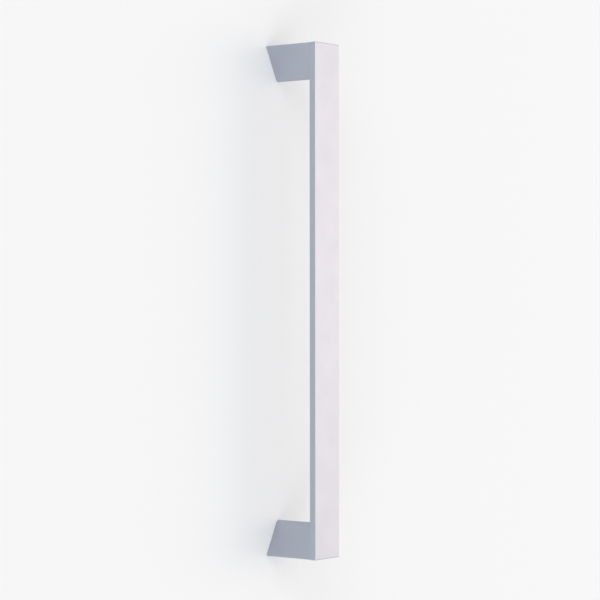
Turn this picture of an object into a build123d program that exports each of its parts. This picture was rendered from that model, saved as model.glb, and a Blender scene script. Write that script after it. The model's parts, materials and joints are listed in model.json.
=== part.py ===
from build123d import *

import os
from math import radians, tan

# Cabinet pull: a flat bar that stands off the door on two three-sided feet, all in one casting.
# X runs across the bar, Y into the door, Z up along the bar. The door's face is the plane Y = 0,
# and the origin lies on it, midway between the two screw holes.

# Driving dimensions, in millimetres and degrees

hole_spacing = 256.0  # centre to centre of the screw holes
hole_to_end = 6.5  # centre of a screw hole to the nearer end of the bar

bar_width = 21.0
bar_thickness = 3.5
projection = 32.6  # door's face to the front of the bar
edge_radius = 0.4  # rounding of the bar's front and back edges
corner_surplus = 0.2  # by how much the outline's corners are rounder than the edges that turn around them

foot_length = 18.4  # end of the bar to the tip of a foot's nose
foot_inset = 0.15  # a foot's outer end and corners to the bar's outline
nose_radius = 2.5
foot_edge_break = 0.3  # chamfer around the face that lies on the door

screw_diameter = 4.0
thread_pitch = 0.7
thread_clearance = 0.05  # screw to the roots of the tapped thread, on the radius
thread_depth = 12.0
tap_runout = 4.0  # how much deeper the hole is drilled than it is tapped
drill_point_angle = 118.0
countersink_margin = 0.3  # width of the ring that the countersink adds around the thread
countersink_angle = 90.0

# Derived dimensions

bar_length = hole_spacing + 2 * hole_to_end
bar_end = bar_length / 2
half_width = bar_width / 2
corner_radius = edge_radius + corner_surplus
foot_end = bar_end - foot_inset
foot_corner_radius = corner_radius - foot_inset
nose_tip = bar_end - foot_length
foot_reach = projection - bar_thickness / 2  # a foot's root lies in the middle of the bar

thread_radius = screw_diameter / 2 + thread_clearance
drill_radius = (screw_diameter - thread_pitch) / 2
drill_depth = thread_depth + tap_runout
point_depth = drill_radius / tan(radians(drill_point_angle / 2))
countersink_radius = thread_radius + countersink_margin
countersink_depth = countersink_margin / tan(radians(countersink_angle / 2))

# Reference planes: the door's face, seen from the front of the pull, and the front of the bar

door_face = Plane.XZ
bar_front = door_face.offset(projection)

with BuildPart() as pull:
    # Flat bar with its long and short edges eased front and back
    with BuildSketch(bar_front):
        RectangleRounded(bar_width, bar_length, corner_radius)
    extrude(amount=-bar_thickness)
    broad_faces = pull.faces().filter_by(Axis.Y)
    fillet(broad_faces.edges(), edge_radius)

    # Feet: a hair inside the bar's outline, so that its rounded back edge shows all around them.
    # The corners share their centres with the bar's own, and the flanks run tangent from them to a
    # round nose. The outline is drawn for the right half of the upper foot and mirrored twice.
    with BuildSketch(door_face):
        with BuildLine():
            corner = CenterArc((half_width - corner_radius, bar_end - corner_radius), foot_corner_radius,
                               0, 360, mode=Mode.PRIVATE)
            nose = CenterArc((0, nose_tip + nose_radius), nose_radius, 0, 360, mode=Mode.PRIVATE)
            flank = ConstrainedLines(corner, nose, selector=lambda lines: lines.sort_by(Axis.X)[-1])
            flank_inner, flank_outer = flank.vertices().sort_by(Axis.Y)
            end_edge = Line((0, foot_end), (half_width - corner_radius, foot_end))
            TangentArc(end_edge @ 1, flank_outer, tangent=end_edge % 1)
            TangentArc((0, nose_tip), flank_inner, tangent=(1, 0))
            mirror(about=Plane.YZ)
        make_face()
        mirror(about=Plane.XZ)
    extrude(amount=foot_reach)
    mounting_faces = pull.faces().group_by(Axis.Y)[-1]
    chamfer(mounting_faces.edges(), foot_edge_break)

    # Blind tapped hole in each foot, turned about its own axis: countersunk mouth, thread at its
    # root diameter, then the tap drill's bore and point. The profile is radius against depth.
    for hole_height in (hole_spacing / 2, -hole_spacing / 2):
        mouth = Plane(origin=(0, 0, hole_height), x_dir=(0, 0, 1), z_dir=(1, 0, 0))
        with BuildSketch(mouth):
            with BuildLine():
                Polyline(
                    (0, 0),
                    (countersink_radius, 0),
                    (thread_radius, countersink_depth),
                    (thread_radius, thread_depth),
                    (drill_radius, thread_depth),
                    (drill_radius, drill_depth),
                    (0, drill_depth + point_depth),
                    close=True,
                )
            make_face()
        revolve(axis=Axis(mouth.origin, (0, 1, 0)), mode=Mode.SUBTRACT)

pull.part.label = "pull"

os.makedirs("parts", exist_ok=True)
export_step(pull.part, "parts/pull.step")
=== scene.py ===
"""Cabinet pull in satin metal, standing on a pale wall in soft studio light.

X runs across the bar, Y into the door and Z up along the bar. The door's face is the plane Y = 0.
Fields hold lengths in metres and angles in degrees, unless a comment says otherwise.
"""

import json
import logging
import math
from abc import ABC, abstractmethod
from dataclasses import dataclass, field
from enum import Enum

import bpy
import numpy as np
from mathutils import Matrix, Vector


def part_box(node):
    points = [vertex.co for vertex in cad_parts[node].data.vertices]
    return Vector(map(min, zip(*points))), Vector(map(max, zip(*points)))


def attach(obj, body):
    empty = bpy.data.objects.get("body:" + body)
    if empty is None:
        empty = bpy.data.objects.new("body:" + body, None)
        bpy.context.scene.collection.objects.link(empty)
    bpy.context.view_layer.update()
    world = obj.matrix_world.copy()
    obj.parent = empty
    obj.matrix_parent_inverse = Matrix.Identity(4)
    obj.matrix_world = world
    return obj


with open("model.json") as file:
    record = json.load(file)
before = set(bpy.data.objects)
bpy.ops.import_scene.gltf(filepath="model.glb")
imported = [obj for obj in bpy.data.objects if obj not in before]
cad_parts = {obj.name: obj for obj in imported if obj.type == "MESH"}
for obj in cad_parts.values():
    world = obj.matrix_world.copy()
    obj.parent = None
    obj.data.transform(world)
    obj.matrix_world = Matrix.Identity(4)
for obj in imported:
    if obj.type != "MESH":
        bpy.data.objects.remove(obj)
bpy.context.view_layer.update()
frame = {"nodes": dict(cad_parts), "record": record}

log = logging.getLogger("cabinet_pull")

MM = 0.001
MICRON = 1e-6
BODY = "root"
PULL_NODE = "pull"
NOISE_MEAN = 0.5
FINER_LAYER = 0.55  # strength of each finer layer of noise, as a share of the one before it
CREASE_ANGLE = 20.0  # edges that turn by more than this stay sharp

Colour = tuple[float, float, float]


class Value:
    """A shader socket that takes part in Python expressions.

    Each operator adds one Math node to the graph that the socket belongs to.
    """

    def __init__(self, graph: "Graph", socket: bpy.types.NodeSocket) -> None:
        """Keep the graph and the output socket."""
        self.graph = graph
        self.socket = socket

    def _math(self, operation: str, *operands: "Value | float") -> "Value":
        """Add a Math node.

        Args:
            operation: Name of the Math node's operation.
            operands: Values or numbers for its inputs, in order.

        Returns:
            The node's result.
        """
        inputs = dict(enumerate(operands))
        return self.graph.node("ShaderNodeMath", {"operation": operation}, inputs)["Value"]

    def __add__(self, other: "Value | float") -> "Value":
        """Sum."""
        return self._math("ADD", self, other)

    def __radd__(self, other: float) -> "Value":
        """Sum with a number on the left."""
        return self._math("ADD", other, self)

    def __sub__(self, other: "Value | float") -> "Value":
        """Difference."""
        return self._math("SUBTRACT", self, other)

    def __rsub__(self, other: float) -> "Value":
        """Difference from a number on the left."""
        return self._math("SUBTRACT", other, self)

    def __mul__(self, other: "Value | float") -> "Value":
        """Product."""
        return self._math("MULTIPLY", self, other)

    def __rmul__(self, other: float) -> "Value":
        """Product with a number on the left."""
        return self._math("MULTIPLY", other, self)

    def __pow__(self, other: "Value | float") -> "Value":
        """Power."""
        return self._math("POWER", self, other)

    def __lt__(self, other: "Value | float") -> "Value":
        """1 where this is less, else 0."""
        return self._math("LESS_THAN", self, other)

    def __gt__(self, other: "Value | float") -> "Value":
        """1 where this is greater, else 0."""
        return self._math("GREATER_THAN", self, other)

    def __abs__(self) -> "Value":
        """Size without sign."""
        return self._math("ABSOLUTE", self)

    def least(self, other: "Value | float") -> "Value":
        """The smaller of the two."""
        return self._math("MINIMUM", self, other)

    def most(self, other: "Value | float") -> "Value":
        """The larger of the two."""
        return self._math("MAXIMUM", self, other)

    def rise(self, low: float, high: float) -> "Value":
        """Smooth step.

        Args:
            low: Where the step starts.
            high: Where it ends.

        Returns:
            0 below low, 1 above high, and an even curve between them.
        """
        return self.graph.node(
            "ShaderNodeMapRange",
            {"interpolation_type": "SMOOTHSTEP"},
            {"Value": self, "From Min": low, "From Max": high},
        )["Result"]


class Graph:
    """A node tree, the one method that adds nodes to it, and the groups of nodes that recur."""

    def __init__(self, tree: bpy.types.NodeTree) -> None:
        """Take over a tree and empty it."""
        self.tree = tree
        tree.nodes.clear()

    def node(
        self,
        kind: str,
        settings: dict[str, object] | None = None,
        sockets: dict[str | int, object] | None = None,
    ) -> dict[str, Value]:
        """Add a node.

        Args:
            kind: Blender's name of the node type.
            settings: The node's own properties, which are set first.
            sockets: A value or a link for each named or numbered input.

        Returns:
            The node's outputs in use, by name.
        """
        made = self.tree.nodes.new(kind)
        for name, setting in (settings or {}).items():
            setattr(made, name, setting)
        named = {}
        for socket in made.inputs:
            if socket.enabled:
                named.setdefault(socket.name, socket)
        for key, given in (sockets or {}).items():
            socket = made.inputs[key] if isinstance(key, int) else named[key]
            if isinstance(given, Value):
                self.tree.links.new(given.socket, socket)
            else:
                socket.default_value = given
        return {socket.name: Value(self, socket) for socket in made.outputs if socket.enabled}

    def xyz(self, vector: Value) -> tuple[Value, Value, Value]:
        """Split a vector into its three parts."""
        parts = self.node("ShaderNodeSeparateXYZ", sockets={"Vector": vector})
        return parts["X"], parts["Y"], parts["Z"]

    def blend(self, factor: Value, first: Value | Colour, second: Value | Colour) -> Value:
        """Mix two colours.

        Args:
            factor: 0 gives the first colour and 1 the second.
            first: A colour or a link.
            second: A colour or a link.

        Returns:
            The mixed colour.
        """
        ends = [c if isinstance(c, Value) else (*c, 1.0) for c in (first, second)]
        return self.node(
            "ShaderNodeMix",
            {"data_type": "RGBA"},
            {"Factor": factor, "A": ends[0], "B": ends[1]},
        )["Result"]

    def cloud(self, vector: Value, feature: tuple[float, float, float], layers: float) -> Value:
        """Noise with features of a given size.

        Args:
            vector: Place on the piece.
            feature: Size of a feature along each axis.
            layers: How many finer layers are added.

        Returns:
            Noise about its mean.
        """
        scaled = self.node(
            "ShaderNodeMapping",
            sockets={"Vector": vector, "Scale": tuple(1 / size for size in feature)},
        )["Vector"]
        return self.node(
            "ShaderNodeTexNoise",
            sockets={"Vector": scaled, "Scale": 1.0, "Detail": layers, "Roughness": FINER_LAYER},
        )["Fac"]

    def cover(self, factor: Value, under: Value, over: Value) -> Value:
        """Mix two shaders: a factor of 0 shows the one under, and 1 the one over it."""
        return self.node("ShaderNodeMixShader", sockets={0: factor, 1: under, 2: over})["Shader"]

    def surface(self, shader: Value) -> None:
        """End a material's graph with its shader."""
        self.node("ShaderNodeOutputMaterial", sockets={"Surface": shader})

    def metal(self, colour: Value | Colour, tint: Value, rough: Value, height: Value) -> None:
        """End a material's graph with metal.

        Args:
            colour: What the metal reflects.
            tint: Factor on the colour.
            rough: Roughness.
            height: Relief of the surface.
        """
        tinted = self.node(
            "ShaderNodeVectorMath",
            {"operation": "SCALE"},
            {"Vector": colour, "Scale": tint},
        )["Vector"]
        normal = self.node(
            "ShaderNodeBump",
            sockets={"Strength": 1.0, "Distance": 1.0, "Height": height},
        )["Normal"]
        shader = self.node(
            "ShaderNodeBsdfPrincipled",
            sockets={"Base Color": tinted, "Metallic": 1.0, "Roughness": rough, "Normal": normal},
        )["BSDF"]
        self.surface(shader)


def new_material(name: str) -> tuple[bpy.types.Material, Graph]:
    """Make a material.

    Args:
        name: Name of the material.

    Returns:
        The material and its empty graph.
    """
    made = bpy.data.materials.new(name)
    made.use_nodes = True
    return made, Graph(made.node_tree)


@dataclass(frozen=True)
class FootOutline:
    """Outline of a foot where it meets the door: an outer end, two flanks and a round nose."""

    half_width: float
    outer_end: float
    length: float = 18.25 * MM
    corner_radius: float = 0.45 * MM
    nose_radius: float = 2.5 * MM

    @property
    def nose_centre(self) -> float:
        """Height of the nose's centre above the middle of the pull."""
        return self.outer_end - self.length + self.nose_radius

    def flank(self) -> tuple[float, float, float]:
        """Line of the right flank, tangent to the corner's circle and to the nose's.

        With d the step from the corner's centre to the nose's, the line's unit normal n satisfies
        n . d = corner radius - nose radius, and it points away from the foot.

        Returns:
            The normal's x and z, and the line's distance from the origin along it.
        """
        across = -(self.half_width - self.corner_radius)
        down = self.nose_centre - (self.outer_end - self.corner_radius)
        turn = math.acos((self.corner_radius - self.nose_radius) / math.hypot(across, down))
        angle = math.atan2(down, across) + turn
        normal_x, normal_z = math.cos(angle), math.sin(angle)
        return normal_x, normal_z, normal_z * self.nose_centre + self.nose_radius

    def depth_inside(self, x: Value, z: Value) -> Value:
        """How far a point lies inside the outline of the nearer foot.

        The distance to the flank, or past the flank's inner end to the nose's circle, and no more
        than the distance to the outer end.

        Args:
            x: Place across the bar.
            z: Place along the bar.

        Returns:
            The distance, negative outside.
        """
        across, along = abs(x), abs(z)
        normal_x, normal_z, offset = self.flank()
        to_end = self.outer_end - along
        to_flank = offset - (across * normal_x + along * normal_z)
        below = self.nose_centre - along
        to_nose = self.nose_radius - (across * across + below * below) ** 0.5
        past_flank = below * normal_x + across * normal_z > 0.0
        return to_end.least(to_flank + past_flank * (to_nose - to_flank))


@dataclass(frozen=True)
class SatinMetal:
    """Satin plating: fine lines along the bar over a faintly uneven casting, smoother on its edges.

    Lines and unevenness each have a depth of relief, and shares by which they vary the colour
    and the roughness.
    """

    colour: Colour = (0.43, 0.46, 0.525)
    edge_colour: Colour = (0.45, 0.48, 0.54)
    cut_colour: Colour = (0.40, 0.415, 0.44)
    roughness: float = 0.42

    line_width: float = 0.14 * MM
    line_length: float = 6.0 * MM
    line_layers: float = 2.0
    line_depth: float = 2.0 * MICRON
    line_tint: float = 0.08
    line_roughness: float = 0.16

    uneven_size: float = 9.0 * MM
    uneven_layers: float = 1.0
    uneven_depth: float = 5.0 * MICRON
    uneven_tint: float = 0.04
    uneven_roughness: float = 0.08

    edge_core: float = 0.125 * MM
    edge_width: float = 0.5 * MM
    edge_polish: float = 0.12  # how much smoother the edges are
    cut_roughness: float = 0.08  # how much rougher the bores are
    end_facing: tuple[float, float] = (0.75, 0.85)  # upright part of the normal, side to end

    def material(self, name: str, pull: "Pull") -> bpy.types.Material:
        """Build the finish.

        Args:
            name: Name of the material.
            pull: The piece whose edges and holes the finish follows.

        Returns:
            The new material.
        """
        made, graph = new_material(name)
        place = graph.node("ShaderNodeTexCoord")["Object"]
        lines = self._lines(graph, place)
        uneven = graph.cloud(place, (self.uneven_size,) * 3, self.uneven_layers)
        edge = pull.edge_mask(graph, place, self.edge_core, self.edge_width)
        bore = pull.bore_mask(graph, place)

        plated = graph.blend(edge, self.colour, self.edge_colour)
        colour = graph.blend(bore, plated, self.cut_colour)
        darkest = 1.0 - NOISE_MEAN * (self.line_tint + self.uneven_tint)
        tint = darkest + self.line_tint * lines + self.uneven_tint * uneven
        rough = (
            self.roughness
            + self.line_roughness * (lines - NOISE_MEAN)
            + self.uneven_roughness * (uneven - NOISE_MEAN)
            - self.edge_polish * edge
            + self.cut_roughness * bore
        )
        height = lines * self.line_depth + uneven * self.uneven_depth
        graph.metal(colour, tint, rough, height)
        return made

    def _lines(self, graph: Graph, place: Value) -> Value:
        """Fine satin lines: along the bar on its long faces, across it on its ends.

        Args:
            graph: The material's graph.
            place: Object coordinates.

        Returns:
            Noise about its mean, drawn out along the lines.
        """
        fine, long = self.line_width, self.line_length
        along = graph.cloud(place, (fine, fine, long), self.line_layers)
        across = graph.cloud(place, (long, fine, fine), self.line_layers)
        _, _, upright = graph.xyz(graph.node("ShaderNodeNewGeometry")["Normal"])
        on_end = abs(upright).rise(*self.end_facing)
        return along + on_end * (across - along)


@dataclass(frozen=True)
class CutThread:
    """Bare metal left by a tap: rings of tool marks around the hole."""

    colour: Colour = (0.52, 0.525, 0.54)
    roughness: float = 0.34
    mark_width: float = 0.05 * MM
    mark_length: float = 2.0 * MM
    mark_layers: float = 2.0
    mark_depth: float = 1.0 * MICRON
    mark_tint: float = 0.16
    mark_roughness: float = 0.2

    def material(self, name: str) -> bpy.types.Material:
        """Build the finish.

        Args:
            name: Name of the material.

        Returns:
            The new material.
        """
        made, graph = new_material(name)
        place = graph.node("ShaderNodeTexCoord")["Object"]
        ring = (self.mark_length, self.mark_width, self.mark_length)
        marks = graph.cloud(place, ring, self.mark_layers)
        darkest = 1.0 - NOISE_MEAN * self.mark_tint
        tint = darkest + self.mark_tint * marks
        rough = self.roughness + self.mark_roughness * (marks - NOISE_MEAN)
        graph.metal(self.colour, tint, rough, marks * self.mark_depth)
        return made


@dataclass(frozen=True)
class WallPaint:
    """Matt pale paint that shows from the front only, with an opening behind each foot.

    A share of the paint shows plain to the camera and in the metal, which keeps the shadows on
    it light.
    """

    colour: Colour = (0.9, 0.9, 0.9)
    plain_share: float = 0.25
    opening_inset: float = 0.3 * MM

    def material(self, name: str, foot: FootOutline) -> bpy.types.Material:
        """Build the paint.

        Args:
            name: Name of the material.
            foot: Outline of the feet that stand on the wall.

        Returns:
            The new material.
        """
        made, graph = new_material(name)
        x, _, z = graph.xyz(graph.node("ShaderNodeTexCoord")["Object"])
        behind_foot = foot.depth_inside(x, z) > self.opening_inset
        back = graph.node("ShaderNodeNewGeometry")["Backfacing"]
        ray = graph.node("ShaderNodeLightPath")
        seen = ray["Is Camera Ray"].most(ray["Is Glossy Ray"]).most(ray["Is Transmission Ray"])

        tone = (*self.colour, 1.0)
        lit = graph.node("ShaderNodeBsdfDiffuse", sockets={"Color": tone})["BSDF"]
        plain = graph.node("ShaderNodeEmission", sockets={"Color": tone, "Strength": 1.0})["Emission"]
        clear = graph.node("ShaderNodeBsdfTransparent")["BSDF"]
        paint = graph.cover(seen * self.plain_share, lit, plain)
        graph.surface(graph.cover(back.most(behind_foot), paint, clear))
        return made


def grid_faces(rows: int, columns: int, wrap: bool) -> np.ndarray:
    """Quads of a grid of points that are numbered row by row.

    Args:
        rows: Number of rows.
        columns: Number of points in a row.
        wrap: Whether each row closes on itself.

    Returns:
        The corners of each quad, one quad to a row.
    """
    quads = columns if wrap else columns - 1
    row, column = np.meshgrid(np.arange(rows - 1), np.arange(quads), indexing="ij")
    right = (column + 1) % columns
    start = row * columns
    after = start + columns
    corners = (start + column, start + right, after + right, after + column)
    return np.stack([corner.ravel() for corner in corners], axis=1)


def new_piece(name: str, points: np.ndarray, faces: list[list[int]]) -> bpy.types.Object:
    """Make a mesh object at the origin, smooth but for its creases.

    Args:
        name: Name of the object and its mesh.
        points: Its vertices, one to a row.
        faces: The corners of each face.

    Returns:
        The new object, linked to the scene.
    """
    mesh = bpy.data.meshes.new(name)
    mesh.from_pydata(points.tolist(), [], faces)
    mesh.polygons.foreach_set("use_smooth", np.ones(len(mesh.polygons), dtype=bool))
    mesh.set_sharp_from_angle(angle=math.radians(CREASE_ANGLE))
    mesh.update()
    made = bpy.data.objects.new(name, mesh)
    bpy.context.scene.collection.objects.link(made)
    return made


@dataclass
class Pull:
    """The bar with its two feet, as the CAD model gives it."""

    half_width: float
    bar_end: float
    projection: float
    hole_height: float
    hole_radius: float
    bar_thickness: float = 3.5 * MM
    back_allowance: float = 0.01 * MM  # keeps the bar's back face from counting as a foot
    foot_inset: float = 0.15 * MM
    countersink: float = 0.3 * MM
    rim_allowance: float = 0.02 * MM  # keeps the rim itself out of the mask
    bore_depth: float = 17.5 * MM
    finish: SatinMetal = field(default_factory=SatinMetal)

    @classmethod
    def from_frame(cls) -> "Pull":
        """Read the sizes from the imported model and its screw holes.

        Returns:
            The pull.
        """
        low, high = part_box(PULL_NODE)
        mounts = frame["record"]["mounts"]
        holes = next(mount["dims"] for mount in mounts if mount["kind"] == "bolt_pattern")
        return cls(
            half_width=high.x,
            bar_end=high.z,
            projection=-low.y,
            hole_height=holes["spacing_y_mm"] / 2 * MM,
            hole_radius=holes["hole_r_mm"] * MM,
        )

    @property
    def foot(self) -> FootOutline:
        """Outline of its feet."""
        return FootOutline(self.half_width - self.foot_inset, self.bar_end - self.foot_inset)

    def edge_mask(self, graph: Graph, place: Value, core: float, width: float) -> Value:
        """1 along the bar's edges, fading to 0 away from them.

        On the bar, the nearest edge is as far as the middle one of the distances to the side, to
        the end and to the broad face. On a foot the broad face counts as far away.

        Args:
            graph: The material's graph.
            place: Object coordinates.
            core: How far from an edge the fade starts.
            width: How far from an edge it ends.

        Returns:
            The mask.
        """
        x, y, z = graph.xyz(place)
        to_side = self.half_width - abs(x)
        to_end = self.bar_end - abs(z)
        behind_front = y + self.projection
        on_foot = behind_front > self.bar_thickness + self.back_allowance
        to_broad = behind_front.least(self.bar_thickness - behind_front) + on_foot
        nearer = to_side.least(to_end)
        farther = to_side.most(to_end)
        middle = nearer.most(farther.least(to_broad))
        return 1.0 - middle.rise(core, width)

    def bore_mask(self, graph: Graph, place: Value) -> Value:
        """1 inside the screw holes.

        Args:
            graph: The material's graph.
            place: Object coordinates.

        Returns:
            The mask: 1 nearer to a hole's axis than its countersunk rim and no deeper than the bore.
        """
        x, y, z = graph.xyz(place)
        off_centre = abs(z) - self.hole_height
        from_axis = (x * x + off_centre * off_centre) ** 0.5
        rim = self.hole_radius + self.countersink - self.rim_allowance
        return (from_axis < rim) * (y > -self.bore_depth)

    def dress(self) -> bpy.types.Object:
        """Give the CAD node its finish.

        Returns:
            The node's object.
        """
        node = frame["nodes"][PULL_NODE]
        plating = self.finish.material("satin_plating", self)
        for slot in node.material_slots:
            slot.material = plating
        return node


class HoleEnd(Enum):
    """Which of the two screw holes, with the sign of its height."""

    UPPER = 1
    LOWER = -1


@dataclass
class ScrewThread:
    """Ridge of the tapped thread in one screw hole."""

    end: HoleEnd
    hole_height: float
    root_radius: float
    crest_radius: float = 1.65 * MM
    pitch: float = 0.7 * MM
    first_depth: float = 0.45 * MM
    last_depth: float = 11.7 * MM
    crest_width: float = 0.175 * MM
    flank_angle: float = 30.0
    bite: float = 0.02 * MM  # how far the ridge's foot reaches into the wall
    runout_turns: float = 0.6
    least_size: float = 0.05  # size of the section where a run-out ends
    steps_per_turn: int = 56
    finish: CutThread = field(default_factory=CutThread)

    def build(self) -> bpy.types.Object:
        """Build the ridge and dress it.

        The ridge is a flat-topped triangle carried along a helix. After t turns, the helix is t
        pitches below its first depth and has turned by 2 pi t. A corner of the section lies inward
        of the wall and a step along the axis, and both shrink over the run-out at each end.

        Returns:
            The ridge, riding on the pull.
        """
        turns = (self.last_depth - self.first_depth) / self.pitch
        rows = round(turns * self.steps_per_turn) + 1
        turned = np.linspace(0.0, turns, rows)
        to_tip = np.minimum(turned, turns - turned)
        grown = np.clip(to_tip / self.runout_turns, self.least_size, 1.0)

        foot_radius = self.root_radius + self.bite
        rise = foot_radius - self.crest_radius
        half_crest = self.crest_width / 2
        half_foot = half_crest + rise * math.tan(math.radians(self.flank_angle))
        inward = np.array([0.0, rise, rise, 0.0])
        step = np.array([-half_foot, -half_crest, half_crest, half_foot])

        radius = foot_radius - grown[:, None] * inward
        depth = self.first_depth + self.pitch * turned[:, None] + grown[:, None] * step
        angle = np.broadcast_to(2 * math.pi * turned[:, None], radius.shape)
        x = radius * np.cos(angle)
        z = self.end.value * self.hole_height + radius * np.sin(angle)
        points = np.stack([x, -depth, z], axis=-1).reshape(-1, 3)

        corners = len(step)
        faces = grid_faces(rows, corners, wrap=True).tolist()
        faces.append(list(range(corners))[::-1])
        faces.append(list(range((rows - 1) * corners, rows * corners)))
        side = self.end.name.lower()
        made = new_piece(f"{side}_screw_thread", points, faces)
        made.data.materials.append(self.finish.material(f"{side}_cut_thread"))
        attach(made, BODY)
        return made


@dataclass
class Backdrop:
    """Pale wall that the pull stands on."""

    half_width: float = 6.0
    half_height: float = 6.0
    gap: float = 0.02 * MM
    paint: WallPaint = field(default_factory=WallPaint)

    def build(self, foot: FootOutline) -> bpy.types.Object:
        """Build the wall and paint it.

        A flat grid in X and Z, a hair behind the door's face, that faces the front.

        Args:
            foot: Outline of the feet that stand on the wall.

        Returns:
            The wall.
        """
        ends = np.array([-1.0, 1.0])
        x, z = np.meshgrid(ends * self.half_width, ends * self.half_height)
        points = np.stack([x.ravel(), np.full(x.size, self.gap), z.ravel()], axis=1)
        faces = grid_faces(len(ends), len(ends), wrap=False).tolist()
        made = new_piece("wall", points, faces)
        made.data.materials.append(self.paint.material("wall_paint", foot))
        return made


@dataclass(frozen=True, kw_only=True)
class Lamp(ABC):
    """A lamp that faces the pull from far away.

    Its azimuth turns from straight in front of the pull to the right, its height up from level,
    and its brightness is the radiance that it shows.
    """

    name: str
    azimuth: float
    height: float
    brightness: float
    colour: Colour
    distance: float = 8.0

    @abstractmethod
    def _light(self) -> bpy.types.Light:
        """The light itself, still without its colour."""

    def build(self) -> bpy.types.Object:
        """Set up the lamp and turn it to the pull.

        Returns:
            The lamp.
        """
        light = self._light()
        light.color = self.colour
        made = bpy.data.objects.new(self.name, light)
        bpy.context.scene.collection.objects.link(made)
        turn, lift = math.radians(self.azimuth), math.radians(self.height)
        level = math.cos(lift)
        towards = Vector((math.sin(turn) * level, -math.cos(turn) * level, math.sin(lift)))
        made.rotation_mode = "QUATERNION"
        made.rotation_quaternion = towards.to_track_quat("Z", "Y")
        made.location = towards * self.distance
        return made


@dataclass(frozen=True, kw_only=True)
class SoftDisc(Lamp):
    """Lamp that shows as an even disc of light, as if from endlessly far away."""

    spread: float

    def _light(self) -> bpy.types.Light:
        """The disc.

        A disc of radiance L and half-angle h lights a surface that faces it by pi L sin(h)^2.

        Returns:
            The light.
        """
        half = math.radians(self.spread / 2)
        light = bpy.data.lights.new(self.name, "SUN")
        light.energy = math.pi * self.brightness * math.sin(half) ** 2
        light.angle = 2 * half
        return light


@dataclass(frozen=True, kw_only=True)
class SoftBox(Lamp):
    """Lamp that shows as an even rectangle of light. Its width and tallness are angles."""

    width: float
    tallness: float

    def _light(self) -> bpy.types.Light:
        """The rectangle.

        A flat lamp of area A and radiance L gives off a power of pi A L.

        Returns:
            The light.
        """
        light = bpy.data.lights.new(self.name, "AREA")
        light.shape = "RECTANGLE"
        light.size = 2 * self.distance * math.tan(math.radians(self.width / 2))
        light.size_y = 2 * self.distance * math.tan(math.radians(self.tallness / 2))
        light.energy = math.pi * self.brightness * light.size * light.size_y
        return light


@dataclass(frozen=True)
class Studio:
    """Even pale room with a wide, low soft box on the right and two fills on the left."""

    room: Colour = (0.745, 0.765, 0.78)
    lamps: tuple[Lamp, ...] = (
        SoftBox(
            name="key_light",
            azimuth=58.0,
            height=2.0,
            width=56.0,
            tallness=32.0,
            brightness=1.72,
            colour=(1.0, 0.80, 0.67),
        ),
        SoftDisc(
            name="upper_fill",
            azimuth=-75.0,
            height=45.0,
            spread=50.0,
            brightness=2.15,
            colour=(0.90, 0.93, 1.0),
        ),
        SoftDisc(
            name="lower_fill",
            azimuth=-90.0,
            height=-50.0,
            spread=60.0,
            brightness=3.4,
            colour=(0.92, 0.945, 1.0),
        ),
    )

    def build(self) -> list[bpy.types.Object]:
        """Set up the room and its lamps.

        Returns:
            The lamps.
        """
        world = bpy.data.worlds.new("room")
        bpy.context.scene.world = world
        world.use_nodes = True
        graph = Graph(world.node_tree)
        tone = (*self.room, 1.0)
        light = graph.node(
            "ShaderNodeBackground",
            sockets={"Color": tone, "Strength": 1.0},
        )["Background"]
        graph.node("ShaderNodeOutputWorld", sockets={"Surface": light})
        return [lamp.build() for lamp in self.lamps]


@dataclass(frozen=True)
class Viewpoint:
    """Where the camera stands: to the left of the pull, level with its middle."""

    azimuth: float = 51.309
    distance: float = 1.15866
    height: float = 0.0005
    aim_turn: float = 0.5687  # from the pull's middle to the middle of the picture
    roll: float = -0.045
    lens: float = 130.976  # in millimetres, as the sensor
    sensor: float = 36.0
    nearest: float = 0.05
    farthest: float = 50.0

    def build(self) -> bpy.types.Object:
        """Set up the camera.

        Returns:
            The camera, set as the scene's own.
        """
        camera = bpy.data.cameras.new("camera")
        camera.sensor_width = self.sensor
        camera.lens = self.lens
        camera.clip_start = self.nearest
        camera.clip_end = self.farthest
        made = bpy.data.objects.new("camera", camera)
        bpy.context.scene.collection.objects.link(made)
        aim = math.radians(self.azimuth + self.aim_turn)
        forward = Vector((math.sin(aim), math.cos(aim), 0.0))
        right = Vector((math.cos(aim), -math.sin(aim), 0.0))
        up = Vector((0.0, 0.0, 1.0))
        turned = Matrix((right, up, -forward)).transposed()
        roll = Matrix.Rotation(math.radians(self.roll), 3, "Z")
        stand = math.radians(self.azimuth)
        x, y = -math.sin(stand) * self.distance, -math.cos(stand) * self.distance
        place = Matrix.Translation(Vector((x, y, self.height)))
        made.matrix_world = place @ (turned @ roll).to_4x4()
        bpy.context.scene.camera = made
        return made


def main() -> None:
    """Build the pull, its threads, the stage, the light and the camera."""
    logging.basicConfig(level=logging.INFO, format="%(message)s")
    bpy.context.scene.view_settings.view_transform = "Standard"

    pull = Pull.from_frame()
    log.info("dressed %s", pull.dress().name)
    for end in HoleEnd:
        thread = ScrewThread(end, pull.hole_height, pull.hole_radius).build()
        log.info("built %s with %d faces", thread.name, len(thread.data.polygons))
    log.info("built %s", Backdrop().build(pull.foot).name)
    for lamp in Studio().build():
        log.info("lit by %s", lamp.name)
    log.info("seen by %s", Viewpoint().build().name)


if __name__ == "__main__":
    main()
